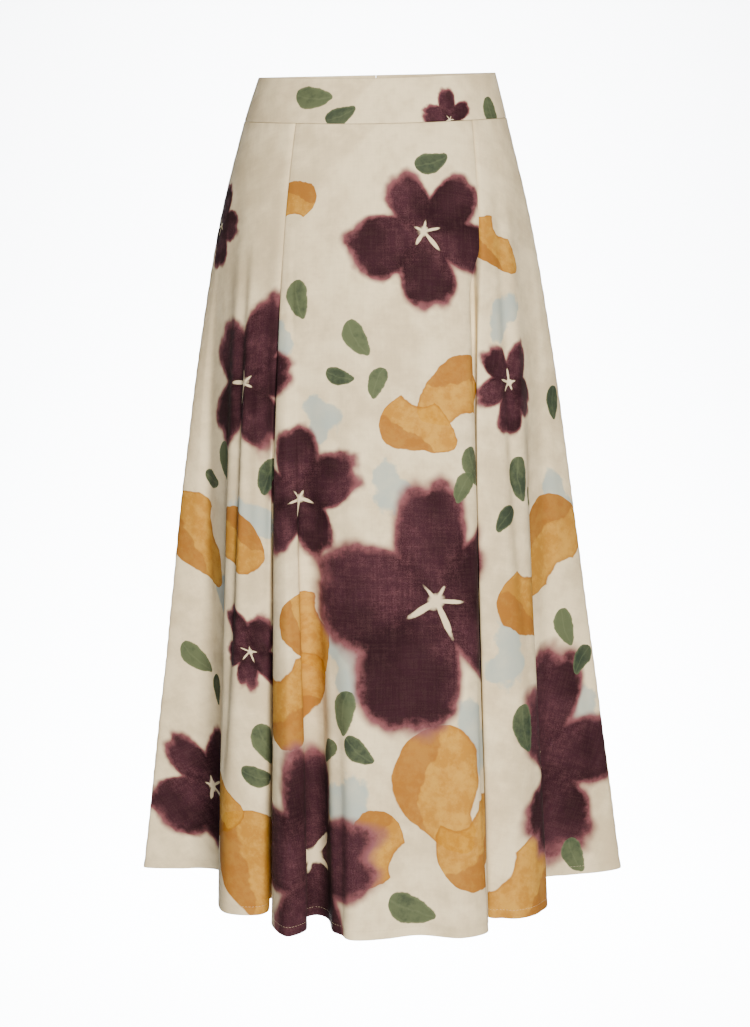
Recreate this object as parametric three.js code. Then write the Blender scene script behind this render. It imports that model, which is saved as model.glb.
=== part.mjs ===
// A flared midi skirt on a wide shaped waistband, hanging as it is worn, hollow from waist to hem.
//
// The cloth is cut as one front panel with two stitched pleats, two back panels that meet in a
// centre-back seam, a front waistband and two back waistbands, with a concealed zip behind the top of
// the centre-back seam. Every piece is a closed wall. Lengths are millimetres, +Z is up, +X is towards
// the wearer's left hand and the front faces -Y. The origin is the middle of the waist opening, level
// with the top edge of the waistband: the skirt hangs from there.
//
// Each wall is a grid. Its columns run down the cloth and its rows are level sections, and a section is
// a closed smooth curve through the fold lines, which lie on the outline at the waist and swing out to
// their places in the hem.
import * as THREE from "three";

// ---- driving sizes ---------------------------------------------------------------------------------
const SKIRT_LENGTH = 829; // from the top of the waistband straight down to the hem
const BAND_HEIGHT = 44;
const CLOTH = 1.2; // one layer of the skirt's cloth
const BAND_CLOTH = 2.0; // the waistband is two layers with interfacing
const HEM_CLOTH = 2.2; // the hem is turned up once and stitched
const HEM_TURN = 12;
const SEAM_GAP = 0.3; // between pieces that are sewn together
const PLEAT_OPENS = 170; // the pleats are sewn shut down to this drop
const PLEAT_SPRINGS = 215; // by this drop the cloth has sprung away from the end of the stitching
const PLEAT_SETTLES = 580; // by this drop an opened pleat has its full depth
const PLEAT_TUCK = 14; // how far a stitched pleat reaches in behind the panel
const LIP_TUCK = 1.4; // the cloth rolls in this far at the stitched edge of a pleat
const WAIST_TILT = 0.021; // the waist sits a little higher on the +X hip
const FRONT_DIP = 3; // the waistline dips at the centre front
const WAIST_SHAPE_ENDS = 300; // tilt and dip have faded out at this drop
const ZIP_LENGTH = 215;
const ZIP_TOP = 3; // below the top edge
const ZIP_TAPE_WIDTH = 24;
const ZIP_TAPE = 1.0;
const SLIDER_DROP = 11; // the middle of the closed zip's slider
const SLIDER = { width: 3, length: 9, height: 4, rounding: 1.4 };
const SLIDER_EYE = { floor: 1.2, height: 1.9, length: 4 }; // the hole that the pull tab hangs in
const TAB = { width: 6, end: 4.4, length: 21, thickness: 1, bar: 1 };
const TAB_SLOT = { clearance: 0.3, length: 4.7 }; // the slot that lets the tab swing over the slider
const COLUMNS_BETWEEN_LINES = 4;
const BAND_DEGREES = 5; // between two columns of a waistband

// Half extents of the outline that the folds reach out to, at each drop below the waist.
const OUTLINE = [
  { drop: 0, left: 117.5, right: 119.5, front: 88, back: 90 },
  { drop: 44, left: 132, right: 131, front: 98, back: 102 },
  { drop: 144, left: 157.5, right: 156, front: 117, back: 124 },
  { drop: 266, left: 179, right: 179, front: 137, back: 144 },
  { drop: 421, left: 200, right: 202, front: 160, back: 165 },
  { drop: 613, left: 221.5, right: 230, front: 187, back: 190 },
  { drop: 829, left: 247.4, right: 261, front: 220, back: 214 },
];

// One row for each line that a fold's edge or hollow follows, in order round the skirt from the left
// side seam. seam: degrees round the waist seam, 0 at the centre front. x, y: its place in the hem.
// swing: how early it turns from its seam angle to its hem angle, 1 for evenly. from: the drop where
// it leaves the outline. tuck: how far it lies inside the outline at the waist. A pleat's rows have
// three more. shut: the degrees where its stitching ends, from where swing counts. spring: the degrees
// that the cloth springs from there when the stitching lets go. ease: how much less deep the pleat is
// while it opens.
const FOLD_LINES = [
  { name: "left side", seam: -90, x: -247.4, y: 0, swing: 2, from: 0, tuck: 0 },
  { name: "left wing", seam: -80, x: -208, y: -6, swing: 2, from: 110, tuck: 0 },
  { name: "left wing inner", seam: -71, x: -170, y: -9, swing: 3, from: 110, tuck: 0 },
  { name: "left wing hollow", seam: -64, x: -149, y: -48, swing: 4, from: 100, tuck: 0 },
  { name: "fold A left", seam: -58, x: -161, y: -108, swing: 4, from: 130, tuck: 0 },
  { name: "fold A front left", seam: -52, x: -151, y: -141, swing: 3, from: 130, tuck: 0 },
  { name: "fold A front right", seam: -44, x: -118, y: -146, swing: 1.8, from: 130, tuck: 0 },
  {
    name: "left pleat lip", seam: -37.3, x: -109, y: -136, swing: 1, from: PLEAT_OPENS,
    tuck: LIP_TUCK, shut: -34.7, spring: 0, ease: 0,
  },
  {
    name: "left pleat floor", seam: -37.5, x: -109, y: -98, swing: 0.4, from: PLEAT_OPENS,
    tuck: PLEAT_TUCK, shut: -34.7, spring: 0, ease: 11,
  },
  {
    name: "left pleat floor 2", seam: -36.5, x: -101, y: -98, swing: 0.4, from: PLEAT_OPENS,
    tuck: PLEAT_TUCK, shut: -34, spring: 0, ease: 11,
  },
  {
    name: "left pleat lip 2", seam: -36.7, x: -103.5, y: -176, swing: 1.1, from: PLEAT_OPENS,
    tuck: LIP_TUCK, shut: -34.1, spring: 0, ease: 0,
  },
  { name: "fold B front", seam: -34.5, x: -87, y: -207, swing: 1.4, from: 130, tuck: 0 },
  { name: "fold B right", seam: -32.6, x: -69, y: -190, swing: 1.4, from: 160, tuck: 0 },
  { name: "hollow C left", seam: -30.6, x: -69, y: -157, swing: 2.2, from: 220, tuck: 0 },
  { name: "hollow C right", seam: -27, x: -50, y: -158, swing: 1.7, from: 220, tuck: 0 },
  { name: "fold D left", seam: -22, x: -42, y: -198, swing: 1.6, from: 110, tuck: 0 },
  { name: "fold D front left", seam: -13, x: -24, y: -219, swing: 2, from: 130, tuck: 0 },
  { name: "fold D middle", seam: 1, x: 8, y: -214, swing: 2, from: 130, tuck: 0 },
  { name: "fold D dip", seam: 14, x: 42, y: -203, swing: 2, from: 130, tuck: 0 },
  { name: "fold D front right", seam: 28, x: 84, y: -211, swing: 2.4, from: 130, tuck: 0 },
  { name: "fold D right", seam: 40.5, x: 110.5, y: -194, swing: 3, from: 110, tuck: 0 },
  {
    name: "right pleat lip", seam: 46.4, x: 112, y: -168, swing: 2.5, from: PLEAT_OPENS,
    tuck: LIP_TUCK, shut: 39.7, spring: -4.9, ease: 0,
  },
  {
    name: "right pleat floor", seam: 46.5, x: 104, y: -126, swing: 9, from: PLEAT_OPENS,
    tuck: PLEAT_TUCK, shut: 39.6, spring: 0, ease: 0,
  },
  {
    name: "right pleat floor 2", seam: 47.2, x: 111, y: -122, swing: 8, from: PLEAT_OPENS,
    tuck: PLEAT_TUCK, shut: 40.4, spring: 0, ease: 0,
  },
  {
    name: "right pleat lip 2", seam: 47.3, x: 113, y: -154, swing: 6, from: PLEAT_OPENS,
    tuck: LIP_TUCK, shut: 40.4, spring: 0, ease: 0,
  },
  { name: "fold E front", seam: 51, x: 142, y: -157, swing: 3.6, from: 130, tuck: 0 },
  { name: "fold E front right", seam: 56, x: 163, y: -143, swing: 3.6, from: 130, tuck: 0 },
  { name: "fold E right", seam: 61, x: 174.5, y: -118, swing: 3.6, from: 110, tuck: 0 },
  { name: "right wing hollow", seam: 66, x: 160, y: -62, swing: 3.6, from: 90, tuck: 0 },
  { name: "right wing inner", seam: 73, x: 177, y: -34, swing: 3.2, from: 90, tuck: 0 },
  { name: "right wing", seam: 81, x: 217, y: -24, swing: 2.4, from: 110, tuck: 0 },
  { name: "right side", seam: 90, x: 261, y: 0, swing: 2, from: 0, tuck: 0 },
  { name: "back hollow 1", seam: 103, x: 206, y: 52, swing: 2, from: 130, tuck: 0 },
  { name: "back fold 1", seam: 116, x: 208, y: 122, swing: 2, from: 130, tuck: 0 },
  { name: "back hollow 2", seam: 128, x: 150, y: 112, swing: 2, from: 130, tuck: 0 },
  { name: "back fold 2", seam: 140, x: 132, y: 186, swing: 1.6, from: 130, tuck: 0 },
  { name: "back hollow 3", seam: 151, x: 80, y: 150, swing: 1.6, from: 130, tuck: 0 },
  { name: "back fold 3", seam: 163, x: 50, y: 208, swing: 2, from: 130, tuck: 0 },
  { name: "centre back", seam: 180, x: 0, y: 172, swing: 2, from: 190, tuck: 0 },
  { name: "back fold 4", seam: 196, x: -44, y: 210, swing: 2, from: 130, tuck: 0 },
  { name: "back hollow 4", seam: 207, x: -84, y: 148, swing: 1.6, from: 130, tuck: 0 },
  { name: "back fold 5", seam: 220, x: -127, y: 188, swing: 1.6, from: 130, tuck: 0 },
  { name: "back hollow 5", seam: 233, x: -158, y: 116, swing: 2, from: 130, tuck: 0 },
  { name: "back fold 6", seam: 245, x: -200, y: 120, swing: 2, from: 130, tuck: 0 },
  { name: "back hollow 6", seam: 257, x: -196, y: 48, swing: 2, from: 130, tuck: 0 },
];

// ---- the form --------------------------------------------------------------------------------------
const radians = THREE.MathUtils.degToRad;
const share = (value, low, high) => THREE.MathUtils.clamp((value - low) / (high - low), 0, 1);
const lineIndex = (name) => FOLD_LINES.findIndex((line) => line.name === name);

// One half extent of the outline at a drop, on a smooth curve through the table's rows.
function extent(side, drop) {
  const last = OUTLINE.length - 1;
  let row = 0;
  while (row < last - 1 && drop > OUTLINE[row + 1].drop) row += 1;
  const slope = (at) => {
    const before = OUTLINE[Math.max(at - 1, 0)];
    const after = OUTLINE[Math.min(at + 1, last)];
    return (after[side] - before[side]) / (after.drop - before.drop);
  };
  const [low, high] = [OUTLINE[row], OUTLINE[row + 1]];
  const step = high.drop - low.drop;
  const t = share(drop, low.drop, high.drop);
  return (
    low[side] * (1 + 2 * t) * (1 - t) ** 2 +
    high[side] * t * t * (3 - 2 * t) +
    step * slope(row) * t * (1 - t) ** 2 -
    step * slope(row + 1) * t * t * (1 - t)
  );
}

// The outline's half extents on the side that a point with these signs lies on.
function extentsAt(drop, x, y) {
  return {
    across: extent(x < 0 ? "left" : "right", drop),
    along: extent(y < 0 ? "front" : "back", drop),
  };
}

// The direction of a fold line at a drop, in degrees round the waist, if it ends in this direction.
function lineDegrees(line, drop, hemDegrees) {
  const turning = (start, top) =>
    hemDegrees + (start - hemDegrees) * (1 - share(drop, top, SKIRT_LENGTH)) ** line.swing;
  if (line.shut === undefined) return turning(line.seam, BAND_HEIGHT);
  if (drop < PLEAT_OPENS) {
    return line.seam + (line.shut - line.seam) * share(drop, BAND_HEIGHT, PLEAT_OPENS);
  }
  const held = line.spring * (1 - share(drop, PLEAT_OPENS, PLEAT_SPRINGS)) ** 2;
  return turning(line.shut + line.spring, PLEAT_OPENS) - held;
}

// Where a fold line crosses the section at a drop.
function linePoint(line, drop) {
  const hem = extentsAt(SKIRT_LENGTH, line.x, line.y);
  const [u, v] = [line.x / hem.across, -line.y / hem.along];
  let hemDegrees = THREE.MathUtils.radToDeg(Math.atan2(u, v));
  if (hemDegrees < line.seam - 180) hemDegrees += 360;
  const angle = radians(lineDegrees(line, drop, hemDegrees));
  const grown = share(drop, line.from, SKIRT_LENGTH);
  const { across, along } = extentsAt(drop, Math.sin(angle), -Math.cos(angle));
  const radius = Math.hypot(across * Math.sin(angle), along * Math.cos(angle));
  const opening = Math.sin(Math.PI * share(drop, PLEAT_OPENS, PLEAT_SETTLES)) ** 2;
  const tuck = line.tuck * (1 - grown) - (line.ease ?? 0) * opening;
  const reach = 1 - tuck / radius - (1 - Math.hypot(u, v)) * grown;
  return new THREE.Vector2(reach * across * Math.sin(angle), -reach * along * Math.cos(angle));
}

// The skirt's closed section at a drop: COLUMNS_BETWEEN_LINES points from each line to the next, with
// the outward normal at each.
function section(drop) {
  const keys = FOLD_LINES.map((line) => {
    const point = linePoint(line, drop);
    return new THREE.Vector3(point.x, point.y, 0);
  });
  const curve = new THREE.CatmullRomCurve3(keys, true, "centripetal");
  const count = keys.length * COLUMNS_BETWEEN_LINES;
  return Array.from({ length: count }, (_, i) => {
    const point = curve.getPoint(i / count);
    const along = curve.getTangent(i / count);
    return { x: point.x, y: point.y, nx: -along.y, ny: along.x };
  });
}

// The height of a point: its drop, and the waist's tilt and front dip, which fade out below the hips.
function height(drop, x, y) {
  const left = (1 - share(drop, 0, WAIST_SHAPE_ENDS)) ** 2;
  const frontness = Math.max(0, -y / Math.hypot(x, y)) ** 2;
  return -drop + left * (WAIST_TILT * x - FRONT_DIP * frontness);
}

// ---- walls -----------------------------------------------------------------------------------------
// A closed wall from two grids of points, outer[row][column] and inner[row][column].
function wall(outer, inner) {
  const rows = outer.length;
  const columns = outer[0].length;
  const positions = [...outer.flat(), ...inner.flat()].flatMap((p) => [p.x, p.y, p.z]);
  const out = (row, column) => row * columns + column;
  const into = (row, column) => rows * columns + out(row, column);
  const faces = [];
  const quad = (a, b, c, d) => faces.push(a, b, c, a, c, d);
  for (let r = 0; r < rows - 1; r += 1) {
    for (let c = 0; c < columns - 1; c += 1) {
      quad(out(r, c), out(r + 1, c), out(r + 1, c + 1), out(r, c + 1));
      quad(into(r, c), into(r, c + 1), into(r + 1, c + 1), into(r + 1, c));
    }
    quad(out(r, 0), into(r, 0), into(r + 1, 0), out(r + 1, 0));
    const e = columns - 1;
    quad(out(r, e), out(r + 1, e), into(r + 1, e), into(r, e));
  }
  for (let c = 0; c < columns - 1; c += 1) {
    quad(out(0, c), out(0, c + 1), into(0, c + 1), into(0, c));
    const e = rows - 1;
    quad(out(e, c), into(e, c), into(e, c + 1), out(e, c + 1));
  }
  const geometry = new THREE.BufferGeometry();
  geometry.setAttribute("position", new THREE.Float32BufferAttribute(positions, 3));
  geometry.setIndex(faces);
  geometry.computeVertexNormals();
  return geometry;
}

// The columns of a panel's section between two fold lines.
function panelColumns(drop, first, last) {
  const ring = section(drop);
  const start = lineIndex(first) * COLUMNS_BETWEEN_LINES;
  let end = lineIndex(last) * COLUMNS_BETWEEN_LINES;
  if (end <= start) end += ring.length;
  const columns = [];
  for (let i = start; i <= end; i += 1) columns.push({ ...ring[i % ring.length] });
  return columns;
}

// The columns of a waistband's section between two fold lines. It has no folds: it is the outline.
function bandColumns(drop, first, last) {
  const start = FOLD_LINES[lineIndex(first)].seam;
  let end = FOLD_LINES[lineIndex(last)].seam;
  if (end < start) end += 360;
  const count = Math.round((end - start) / BAND_DEGREES);
  return Array.from({ length: count + 1 }, (_, i) => {
    const angle = radians(start + ((end - start) * i) / count);
    const { across, along } = extentsAt(drop, Math.sin(angle), -Math.cos(angle));
    const [x, y] = [across * Math.sin(angle), -along * Math.cos(angle)];
    const normal = new THREE.Vector2(x / across ** 2, y / along ** 2).normalize();
    return { x, y, nx: -normal.x, ny: -normal.y };
  });
}

// A cloth piece of a row of columns for each drop: its outer face is there, and its thickness lies
// inside. Half a seam's gap is taken off each end.
function clothPiece(drops, columnsAt, thickness) {
  const pull = (from, to) => {
    const length = Math.hypot(to.x - from.x, to.y - from.y);
    from.x += ((to.x - from.x) / length) * (SEAM_GAP / 2);
    from.y += ((to.y - from.y) / length) * (SEAM_GAP / 2);
  };
  const face = (drop, depth) => {
    const columns = columnsAt(drop);
    pull(columns[0], columns[1]);
    pull(columns[columns.length - 1], columns[columns.length - 2]);
    return columns.map(({ x, y, nx, ny }) => {
      const z = height(drop, x, y);
      return new THREE.Vector3(x + nx * depth, y + ny * depth, z);
    });
  };
  return wall(
    drops.map((drop) => face(drop, 0)),
    drops.map((drop) => face(drop, thickness(drop))),
  );
}

// ---- the pieces ------------------------------------------------------------------------------------
// The drops of each piece's rows: closer together where the pleats open and where the hem thickens.
const HEM_START = SKIRT_LENGTH - HEM_TURN;
const BAND_ROWS = [0, BAND_HEIGHT / 2, BAND_HEIGHT - SEAM_GAP];
const PANEL_ROWS = [
  BAND_HEIGHT, 75, 110, 145, 172, 195, 225, 270, 330, 400, 480, 570, 660, 745,
  HEM_START - 1, HEM_START, SKIRT_LENGTH,
];
const ZIP_ROWS = [ZIP_TOP, BAND_HEIGHT, 75, 110, 145, 172, 195, ZIP_LENGTH];
const panelThickness = (drop) => (drop < HEM_START ? CLOTH : HEM_CLOTH);

// The point of a section that lies a distance round from the centre back, moved in by a depth.
function nearCentreBack(ring, distance, depth) {
  const way = Math.sign(distance);
  let at = lineIndex("centre back") * COLUMNS_BETWEEN_LINES;
  let left = Math.abs(distance);
  let [here, next] = [ring[at], ring[at + way]];
  while (left > Math.hypot(next.x - here.x, next.y - here.y)) {
    left -= Math.hypot(next.x - here.x, next.y - here.y);
    at += way;
    [here, next] = [ring[at], ring[at + way]];
  }
  const t = way === 0 ? 0 : left / Math.hypot(next.x - here.x, next.y - here.y);
  const mix = (key) => here[key] + (next[key] - here[key]) * t;
  return [mix("x") + mix("nx") * depth, mix("y") + mix("ny") * depth];
}

// The zip's tape lies behind the seam, against the waistband and then against the thinner panels.
function zipTape() {
  const offsets = [-2, -1, 0, 1, 2].map((quarter) => (quarter * ZIP_TAPE_WIDTH) / 4);
  const face = (drop, depth) => {
    const ring = section(drop);
    return offsets.map((distance) => {
      const [x, y] = nearCentreBack(ring, distance, depth);
      return new THREE.Vector3(x, y, height(drop, x, y));
    });
  };
  const front = BAND_CLOTH + SEAM_GAP;
  return wall(
    ZIP_ROWS.map((drop) => face(drop, front)),
    ZIP_ROWS.map((drop) => face(drop, front + ZIP_TAPE)),
  );
}

// ---- the zip's slider and its pull tab -------------------------------------------------------------
// Both are drawn flat against the centre back seam: local +Y is out of the cloth and -Z down the seam.
const eyeMiddle = SEAM_GAP + SLIDER_EYE.floor + SLIDER_EYE.height / 2;

// A profile in local Y and Z, given as a Shape in its own x and y, and made this wide about the seam.
function acrossSeam(shape, width) {
  const extrusion = { depth: width, bevelEnabled: false, curveSegments: 5 };
  const geometry = new THREE.ExtrudeGeometry(shape, extrusion);
  geometry.translate(0, 0, -width / 2);
  return geometry.applyMatrix4(new THREE.Matrix4().makeBasis(
    new THREE.Vector3(0, 1, 0),
    new THREE.Vector3(0, 0, 1),
    new THREE.Vector3(1, 0, 0),
  ));
}

// The slider: a body with a round back, and an eye through it from side to side.
function sliderGeometry() {
  const { width, length, height: tall, rounding } = SLIDER;
  const [low, high, half] = [SEAM_GAP, SEAM_GAP + tall, length / 2];
  const shape = new THREE.Shape();
  shape.moveTo(low, -half);
  shape.lineTo(high - rounding, -half);
  shape.absarc(high - rounding, -half + rounding, rounding, -Math.PI / 2, 0);
  shape.lineTo(high, half - rounding);
  shape.absarc(high - rounding, half - rounding, rounding, 0, Math.PI / 2);
  shape.lineTo(low, half);
  shape.closePath();
  const eye = new THREE.Path();
  const floor = SEAM_GAP + SLIDER_EYE.floor;
  eye.moveTo(floor, -SLIDER_EYE.length / 2);
  eye.lineTo(floor, SLIDER_EYE.length / 2);
  eye.lineTo(floor + SLIDER_EYE.height, SLIDER_EYE.length / 2);
  eye.lineTo(floor + SLIDER_EYE.height, -SLIDER_EYE.length / 2);
  eye.closePath();
  shape.holes.push(eye);
  return acrossSeam(shape, width);
}

// The pull tab: a drop-shaped plate whose top bar hangs in the slider's eye.
function tabGeometry() {
  const { width, end, length, thickness, bar } = TAB;
  const top = bar / 2;
  const shape = new THREE.Shape();
  shape.moveTo(-width / 2, top);
  shape.lineTo(-width / 2, top - bar - TAB_SLOT.length - bar);
  shape.lineTo(-end / 2, top - length + end / 2);
  shape.absarc(0, top - length + end / 2, end / 2, Math.PI, 2 * Math.PI);
  shape.lineTo(width / 2, top - bar - TAB_SLOT.length - bar);
  shape.lineTo(width / 2, top);
  shape.closePath();
  const slot = new THREE.Path();
  const side = SLIDER.width / 2 + TAB_SLOT.clearance;
  slot.moveTo(-side, top - bar);
  slot.lineTo(side, top - bar);
  slot.lineTo(side, top - bar - TAB_SLOT.length);
  slot.lineTo(-side, top - bar - TAB_SLOT.length);
  slot.closePath();
  shape.holes.push(slot);
  const extrusion = { depth: thickness, bevelEnabled: false, curveSegments: 8 };
  const geometry = new THREE.ExtrudeGeometry(shape, extrusion);
  geometry.translate(0, 0, -thickness / 2);
  return geometry.rotateX(Math.PI / 2);
}

const printedCloth = { color: 0xd9d0c1, roughness: 0.78, metalness: 0 };
const skirt = new THREE.Group();
skirt.name = "midi_skirt";

function addPiece(name, geometry, look, parent = skirt) {
  const mesh = new THREE.Mesh(geometry, new THREE.MeshStandardMaterial(look));
  mesh.name = name;
  parent.add(mesh);
  return mesh;
}

const SECTIONS = [
  { panel: "front_panel", band: "waistband_front", first: "left side", last: "right side" },
  { panel: "back_left_panel", band: "waistband_back_left", first: "right side", last: "centre back" },
  { panel: "back_right_panel", band: "waistband_back_right", first: "centre back", last: "left side" },
];
for (const { panel, band, first, last } of SECTIONS) {
  const onPanel = (drop) => panelColumns(drop, first, last);
  const onBand = (drop) => bandColumns(drop, first, last);
  addPiece(panel, clothPiece(PANEL_ROWS, onPanel, panelThickness), printedCloth);
  addPiece(band, clothPiece(BAND_ROWS, onBand, () => BAND_CLOTH), printedCloth);
}

addPiece("zip_tape", zipTape(), { color: 0xd6cdbd, roughness: 0.85, metalness: 0 });

const enamel = { color: 0xcfc5b4, roughness: 0.35, metalness: 0.3 };
const zipHead = new THREE.Group();
const slope = (extent("back", SLIDER_DROP + 1) - extent("back", SLIDER_DROP - 1)) / 2;
zipHead.position.set(0, extent("back", SLIDER_DROP), -SLIDER_DROP);
zipHead.rotation.x = Math.atan(slope);
skirt.add(zipHead);
addPiece("zip_slider", sliderGeometry(), enamel, zipHead);
const tab = addPiece("zip_pull_tab", tabGeometry(), enamel, zipHead);
tab.position.y = eyeMiddle;

export default skirt;
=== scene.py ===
# %% [markdown]
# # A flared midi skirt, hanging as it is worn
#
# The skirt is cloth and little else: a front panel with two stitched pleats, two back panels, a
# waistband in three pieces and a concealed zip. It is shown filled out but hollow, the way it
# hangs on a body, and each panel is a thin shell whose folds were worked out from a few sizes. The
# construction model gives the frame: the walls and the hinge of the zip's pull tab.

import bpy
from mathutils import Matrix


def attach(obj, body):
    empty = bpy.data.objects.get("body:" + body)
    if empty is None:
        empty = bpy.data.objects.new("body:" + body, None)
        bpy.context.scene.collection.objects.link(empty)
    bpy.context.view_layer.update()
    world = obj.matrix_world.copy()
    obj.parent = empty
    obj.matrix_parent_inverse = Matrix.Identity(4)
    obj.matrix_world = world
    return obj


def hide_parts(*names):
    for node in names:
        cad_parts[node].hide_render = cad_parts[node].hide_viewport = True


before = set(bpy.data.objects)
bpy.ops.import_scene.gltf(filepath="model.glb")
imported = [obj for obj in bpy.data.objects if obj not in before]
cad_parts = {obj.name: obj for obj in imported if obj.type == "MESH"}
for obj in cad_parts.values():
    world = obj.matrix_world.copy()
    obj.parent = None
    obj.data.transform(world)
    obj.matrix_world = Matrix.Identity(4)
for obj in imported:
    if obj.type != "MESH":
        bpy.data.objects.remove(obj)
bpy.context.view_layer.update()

# %% What the later cells use
import math
from collections import namedtuple
from functools import partialmethod

import bpy
import numpy as np
from mathutils import Vector

MM = 0.001


def table(kind, *rows):
    """Each row of values with the column names of its kind."""
    return [kind(*row) for row in rows]


def in_scene(name, data):
    """A new object at the origin, linked to the scene."""
    made = bpy.data.objects.new(name, data)
    bpy.context.scene.collection.objects.link(made)
    return made


print("the pieces are", sorted(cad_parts))

# %% [markdown]
# ## The camera
#
# The skirt is seen from in front, from the height of the waist and a little downwards, so the hem
# shows as a curve and the sides as edges that turn away. A long lens from far back keeps the waist
# and the hem in true proportion. The camera comes first because everything after it is judged
# through it.

# %% The camera
CAMERA_PLACE = (-0.001, -2.4, 0.0)
CAMERA_PITCH = math.radians(10.53)
CAMERA_LENS = 82.7

camera_data = bpy.data.cameras.new("camera")
camera_data.lens = CAMERA_LENS
camera = in_scene("camera", camera_data)
camera.location = CAMERA_PLACE
camera.rotation_euler = (math.pi / 2 - CAMERA_PITCH, 0, 0)
bpy.context.scene.camera = camera
print("the camera stands at", CAMERA_PLACE, "and looks down by 10.5 degrees")

# %% [markdown]
# ## The form of the skirt
#
# A skirt that hangs in folds can be simulated, sculpted or worked out. Here it is worked out,
# because its folds are few and each has a clear path: it leaves the hips at a known place and
# reaches the hem at another. Two short tables hold them. The first is the outline that the folds
# reach out to, and the second has a row for each line that a fold's edge or hollow follows. A
# level section of the skirt is then a closed smooth curve through the lines at that height.

# %% The sizes and the outline
# Lengths are in millimetres, and a drop is measured down from the waistband's top edge.
SKIRT_LENGTH = 829
BAND_HEIGHT = 44
PLEAT_OPENS = 170
PLEAT_SPRINGS = 215
PLEAT_SETTLES = 580
PLEAT_TUCK = 14
LIP_TUCK = 1.4
WAIST_TILT = 0.021
FRONT_DIP = 3
WAIST_SHAPE_ENDS = 300
SEAM_GAP = 0.3

Outline = namedtuple("Outline", "drop left right front back")
OUTLINE = table(
    Outline,
    (0, 117.5, 119.5, 88, 90),
    (44, 132, 131, 98, 102),
    (144, 157.5, 156, 117, 124),
    (266, 179, 179, 137, 144),
    (421, 200, 202, 160, 165),
    (613, 221.5, 230, 187, 190),
    (829, 247.4, 261, 220, 214),
)
print("the skirt is", SKIRT_LENGTH, "mm long and has", len(OUTLINE), "outline rows")

# %% The lines that the folds follow
# seam is in degrees round the waist, x and y are the line's place in the hem, swing says how early
# it turns towards it, start is the drop where it leaves the outline, and tuck is how far it lies
# inside the outline at the waist. A pleat has three more numbers: the degrees where its stitching
# ends, the degrees that the cloth springs from there, and how much less deep the pleat is while it
# opens.
FoldLine = namedtuple(
    "FoldLine", "name seam x y swing start tuck shut spring ease", defaults=(130, 0, None, 0, 0)
)
FOLD_LINES = table(
    FoldLine,
    ("left side", -90, -247.4, 0, 2, 0),
    ("left wing", -80, -208, -6, 2, 110),
    ("left wing inner", -71, -170, -9, 3, 110),
    ("left wing hollow", -64, -149, -48, 4, 100),
    ("fold A left", -58, -161, -108, 4),
    ("fold A front left", -52, -151, -141, 3),
    ("fold A front right", -44, -118, -146, 1.8),
    ("left pleat lip", -37.3, -109, -136, 1, PLEAT_OPENS, LIP_TUCK, -34.7),
    ("left pleat floor", -37.5, -109, -98, 0.4, PLEAT_OPENS, PLEAT_TUCK, -34.7, 0, 11),
    ("left pleat floor 2", -36.5, -101, -98, 0.4, PLEAT_OPENS, PLEAT_TUCK, -34, 0, 11),
    ("left pleat lip 2", -36.7, -103.5, -176, 1.1, PLEAT_OPENS, LIP_TUCK, -34.1),
    ("fold B front", -34.5, -87, -207, 1.4),
    ("fold B right", -32.6, -69, -190, 1.4, 160),
    ("hollow C left", -30.6, -69, -157, 2.2, 220),
    ("hollow C right", -27, -50, -158, 1.7, 220),
    ("fold D left", -22, -42, -198, 1.6, 110),
    ("fold D front left", -13, -24, -219, 2),
    ("fold D middle", 1, 8, -214, 2),
    ("fold D dip", 14, 42, -203, 2),
    ("fold D front right", 28, 84, -211, 2.4),
    ("fold D right", 40.5, 110.5, -194, 3, 110),
    ("right pleat lip", 46.4, 112, -168, 2.5, PLEAT_OPENS, LIP_TUCK, 39.7, -4.9),
    ("right pleat floor", 46.5, 104, -126, 9, PLEAT_OPENS, PLEAT_TUCK, 39.6),
    ("right pleat floor 2", 47.2, 111, -122, 8, PLEAT_OPENS, PLEAT_TUCK, 40.4),
    ("right pleat lip 2", 47.3, 113, -154, 6, PLEAT_OPENS, LIP_TUCK, 40.4),
    ("fold E front", 51, 142, -157, 3.6),
    ("fold E front right", 56, 163, -143, 3.6),
    ("fold E right", 61, 174.5, -118, 3.6, 110),
    ("right wing hollow", 66, 160, -62, 3.6, 90),
    ("right wing inner", 73, 177, -34, 3.2, 90),
    ("right wing", 81, 217, -24, 2.4, 110),
    ("right side", 90, 261, 0, 2, 0),
    ("back hollow 1", 103, 206, 52, 2),
    ("back fold 1", 116, 208, 122, 2),
    ("back hollow 2", 128, 150, 112, 2),
    ("back fold 2", 140, 132, 186, 1.6),
    ("back hollow 3", 151, 80, 150, 1.6),
    ("back fold 3", 163, 50, 208, 2),
    ("centre back", 180, 0, 172, 2, 190),
    ("back fold 4", 196, -44, 210, 2),
    ("back hollow 4", 207, -84, 148, 1.6),
    ("back fold 5", 220, -127, 188, 1.6),
    ("back hollow 5", 233, -158, 116, 2),
    ("back fold 6", 245, -200, 120, 2),
    ("back hollow 6", 257, -196, 48, 2),
)
LINE_AT = {line.name: number for number, line in enumerate(FOLD_LINES)}
print(len(FOLD_LINES), "fold lines go round the skirt")


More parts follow.
